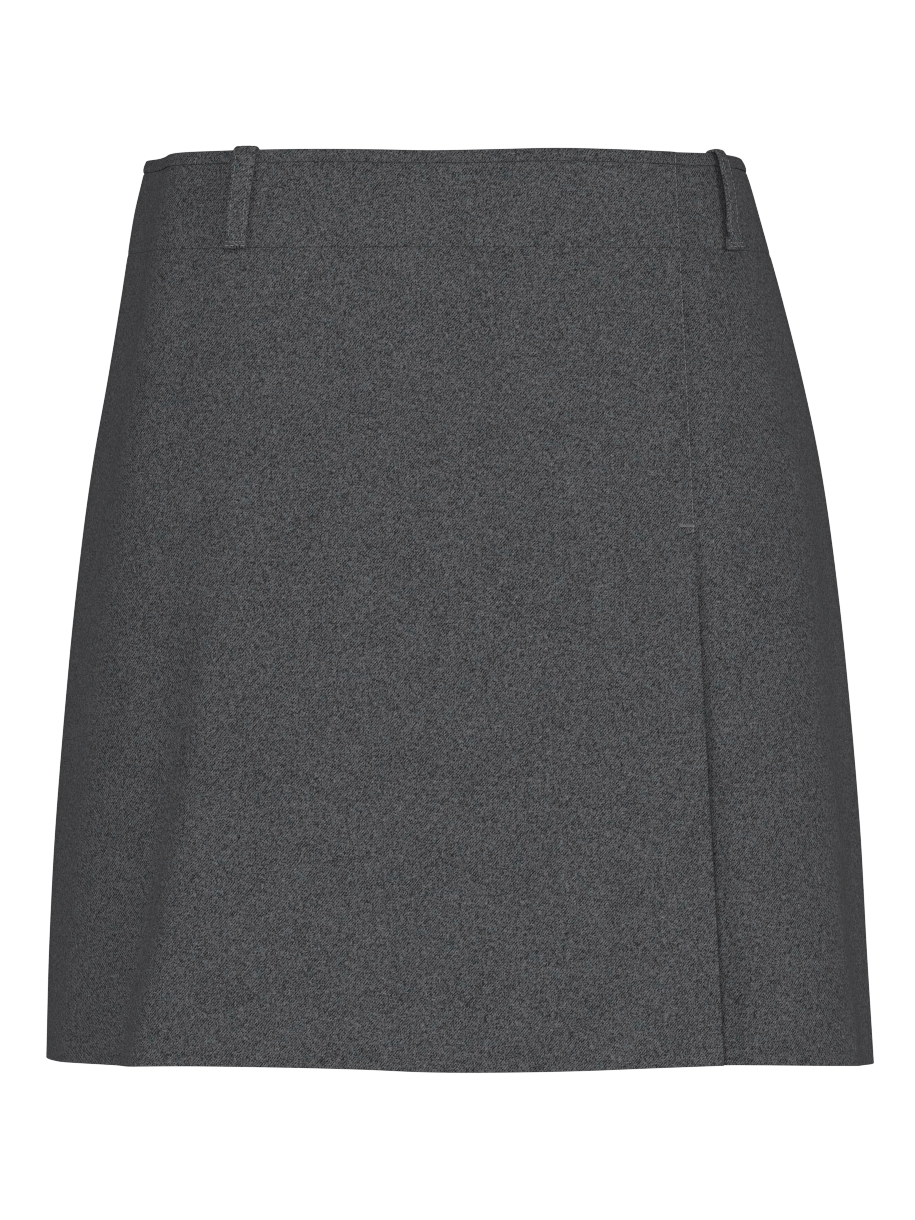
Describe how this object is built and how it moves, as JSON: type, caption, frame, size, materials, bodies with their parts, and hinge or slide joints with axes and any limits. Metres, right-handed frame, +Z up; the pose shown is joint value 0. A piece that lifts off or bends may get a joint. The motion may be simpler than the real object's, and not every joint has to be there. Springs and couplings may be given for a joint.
{
  "type": "pleated mini skirt, filled out as worn",
  "caption": "Hollow A-line mini skirt in grey wool twill with a waistband, belt loops and a pressed knife pleat stitched shut to the hip.",
  "frame": {"origin": "middle of the waist opening, level with the waist edge, where the wearer holds the skirt up", "axes": "+Z up, the front of the skirt faces -Y, the wearer's left hand side is at +X"},
  "size_m": [0.3675, 0.274, 0.4024],
  "materials": {
    "panel_cloth": "matt melange wool twill",
    "waistband_cloth": "matt melange wool twill, doubled",
    "binding_cloth": "matt melange wool twill, folded",
    "loop_cloth": "matt melange wool twill, folded strip",
    "thread": "fine grey sewing thread"
  },
  "bodies": {
    "root": {"front_panel": "panel_cloth", "right_front_panel": "panel_cloth", "back_panel": "panel_cloth", "waistband_front": "waistband_cloth", "waistband_right_front": "waistband_cloth", "waistband_back": "waistband_cloth", "binding_front": "binding_cloth", "binding_right_front": "binding_cloth", "binding_back": "binding_cloth", "belt_loop_left_front": "loop_cloth", "belt_loop_right_front": "loop_cloth", "belt_loop_right_back": "loop_cloth", "belt_loop_centre_back": "loop_cloth", "belt_loop_left_back": "loop_cloth"}
  },
  "joints": []
}
